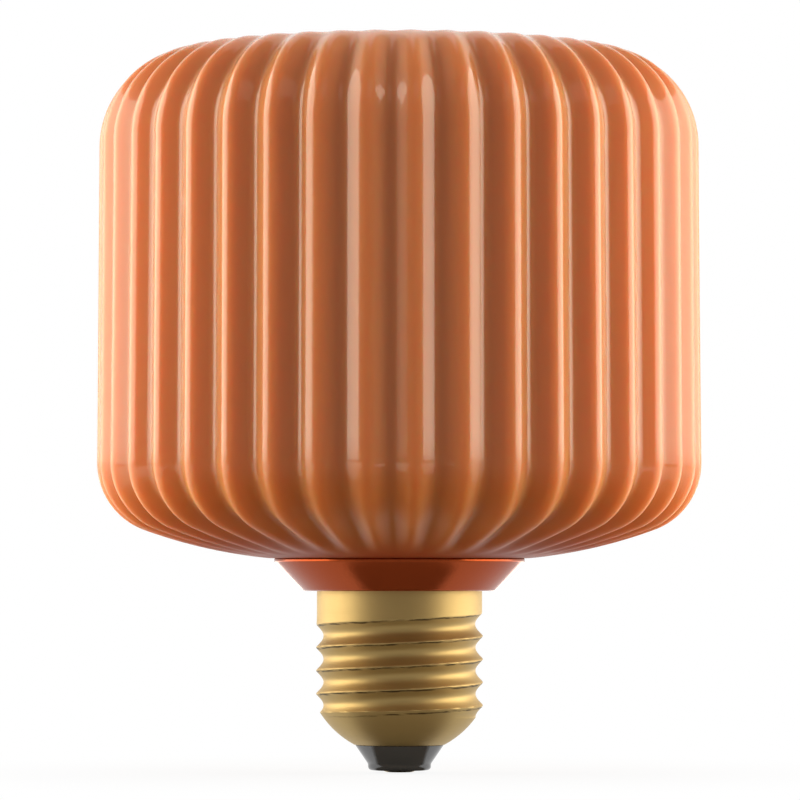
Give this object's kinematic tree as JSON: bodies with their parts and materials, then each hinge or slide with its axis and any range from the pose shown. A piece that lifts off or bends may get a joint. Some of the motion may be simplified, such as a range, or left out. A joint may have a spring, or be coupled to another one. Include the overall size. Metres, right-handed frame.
{
  "type": "fluted drum-shaped led bulb",
  "caption": "LED bulb with a wide, fluted terracotta drum globe, a cone collar in the same colour and a brass screw cap with a black insulator and centre contact.",
  "frame": {"origin": "centre of the contact's flat lower face, the lowest point of the bulb", "axes": "+Z along the bulb's axis, from the contact to the crown of the globe"},
  "size_m": [0.095, 0.095, 0.1133],
  "materials": {
    "globe_glass": "opaque terracotta, glossy",
    "collar_plastic": "glossy",
    "shell_brass": "bright",
    "insulator_glass": "black, glossy",
    "contact_brass": "bright"
  },
  "bodies": {
    "root": {"globe": "globe_glass", "collar": "collar_plastic", "screw_shell": "shell_brass", "insulator": "insulator_glass", "contact": "contact_brass"}
  },
  "joints": []
}
